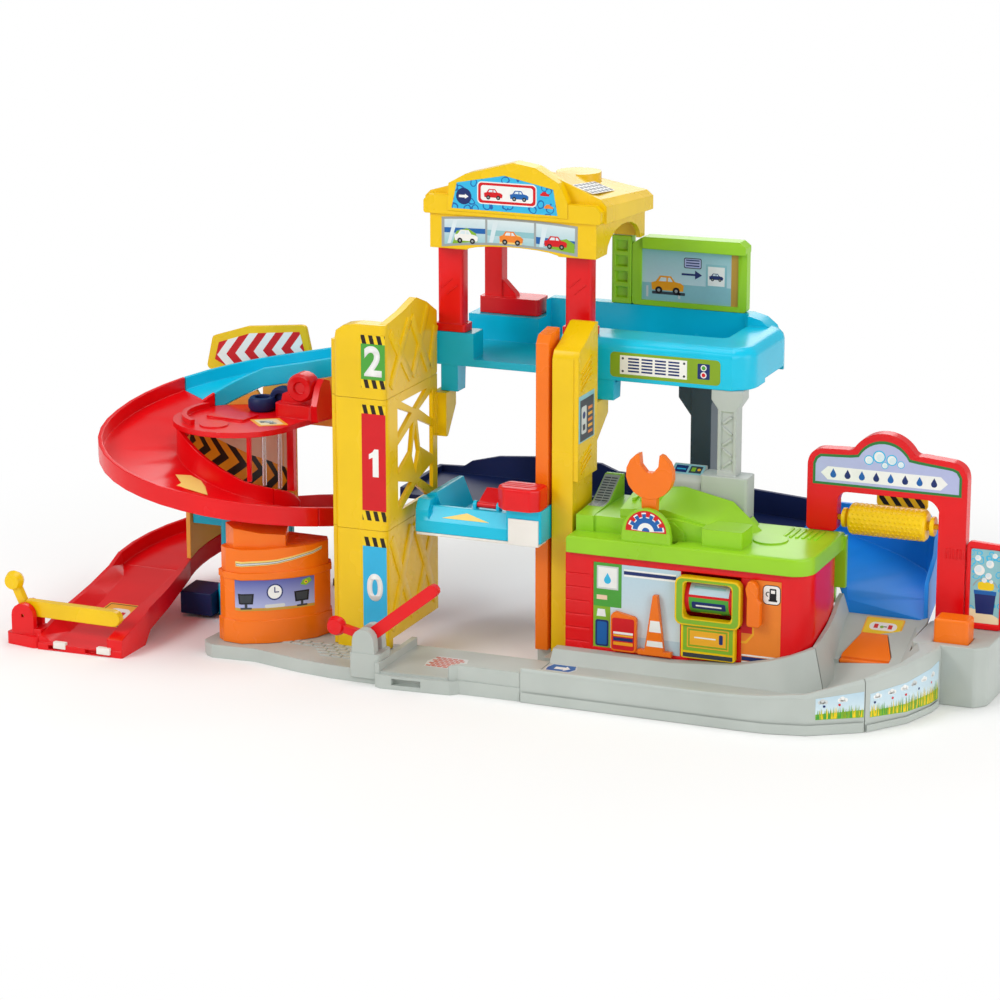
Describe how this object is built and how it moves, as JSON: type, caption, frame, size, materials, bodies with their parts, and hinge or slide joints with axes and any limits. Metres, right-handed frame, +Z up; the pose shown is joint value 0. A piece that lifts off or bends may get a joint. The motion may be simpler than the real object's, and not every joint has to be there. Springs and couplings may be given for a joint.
{
  "type": "toy parking garage",
  "caption": "Toy parking garage with a hand-moved lift, a spiral road, an upper parking deck, a fuel station, a car wash with a turning roller, and swinging barriers.",
  "frame": {"origin": "on the floor, at the middle of the whole toy's footprint", "axes": "+X along the front from the spiral road to the car wash, +Y to the back, +Z up"},
  "size_m": [0.855, 0.3094, 0.429],
  "materials": {
    "red": "smooth moulded plastic",
    "yellow": "smooth moulded plastic",
    "green": "smooth moulded plastic",
    "sky_blue": "smooth moulded plastic",
    "navy": "smooth moulded plastic",
    "blue": "smooth moulded plastic",
    "orange": "smooth moulded plastic",
    "light_grey": "smooth moulded plastic",
    "dark_grey": "smooth moulded plastic",
    "cream": "smooth moulded plastic",
    "light_orange": "smooth moulded plastic",
    "brown": "smooth moulded plastic",
    "clear": "smooth moulded plastic"
  },
  "bodies": {
    "garage": {"base_left": "light_grey", "base_road": "light_grey", "wash_ramp": "light_grey", "wash_pedestal": "light_grey", "light_column": "light_grey", "console": "light_grey", "dark_column": "dark_grey", "link_pole": "brown", "exit_ramp": "red", "spiral_upper": "red", "spiral_lower": "red", "platform": "red", "spiral_support": "red", "deck_link": "sky_blue", "core_rear_wall": "light_orange", "clear_rod_left": "clear", "clear_rod_right": "clear", "spiral_column": "sky_blue", "column_beam": "navy", "hut": "orange", "chevron_sign": "yellow", "tyres": "navy", "tower_bottom": "yellow", "tower_middle": "yellow", "tower_top": "yellow", "lift_rail": "orange", "rail_strip": "red", "service_pole": "yellow", "upper_deck": "sky_blue", "cabin_post_left": "red", "cabin_post_right": "red", "cabin_back_post": "red", "ladder_post": "green", "deck_sign": "green", "cabin_roof": "yellow", "rear_track": "navy", "curve_track": "blue", "hazard_sign": "yellow", "station_body": "red", "station_roof": "green", "pump_frame": "yellow", "pump_nozzle": "orange", "cone_relief": "orange", "wash_gate": "red", "side_sign": "red"},
    "lift": {"lift_tray": "sky_blue", "lift_shell": "cream", "lift_handle": "red"},
    "tray_flap": {"lift_flap": "red"},
    "front_arm": {"front_barrier": "red"},
    "exit_arm": {"exit_barrier": "yellow"},
    "roller": {"wash_roller": "yellow"},
    "button": {"push_block": "orange"},
    "ramp_flap": {"wash_flap": "orange"},
    "drum": {"pump_drum": "green"},
    "spanner": {"wrench": "orange"}
  },
  "joints": [
    {"name": "lift_slide", "type": "slide", "parent": "garage", "child": "lift", "axis": [0, 0, 1], "range_m": [-0.108, 0.128]},
    {"name": "tray_flap_hinge", "type": "hinge", "parent": "lift", "child": "tray_flap", "pos_m": [-0.00924, -0.03278, 0.1395], "axis": [1, 0, 0], "range_deg": [0, 60]},
    {"name": "front_barrier_hinge", "type": "hinge", "parent": "garage", "child": "front_arm", "pos_m": [-0.08224, -0.12128, 0.038], "axis": [0, 1, 0], "range_deg": [-35, 38]},
    {"name": "exit_barrier_hinge", "type": "hinge", "parent": "garage", "child": "exit_arm", "pos_m": [-0.40524, -0.13828, 0.027], "axis": [0, 1, 0], "range_deg": [-55, 0]},
    {"name": "roller_spin", "type": "hinge", "parent": "garage", "child": "roller", "pos_m": [0.32326, 0.05572, 0.137], "axis": [1, 0, 0], "continuous": true},
    {"name": "button_press", "type": "slide", "parent": "garage", "child": "button", "axis": [0, 0, -1], "range_m": [0, 0.008], "stiffness_N_per_m": 150, "springref_m": -0.003},
    {"name": "ramp_flap_hinge", "type": "hinge", "parent": "garage", "child": "ramp_flap", "pos_m": [0.32126, -0.00028, 0.0272], "axis": [1, 0, 0], "range_deg": [0, 56]},
    {"name": "drum_spin", "type": "hinge", "parent": "garage", "child": "drum", "pos_m": [0.19776, -0.03328, 0.081], "axis": [1, 0, 0], "continuous": true},
    {"name": "wrench_swing", "type": "hinge", "parent": "garage", "child": "spanner", "pos_m": [0.13976, -0.03328, 0.134], "axis": [0, 1, 0], "range_deg": [-25, 25]}
  ],
  "couplings": [
    {"joint": "ramp_flap_hinge", "follows": "button_press", "rad_per_m": 120}
  ]
}
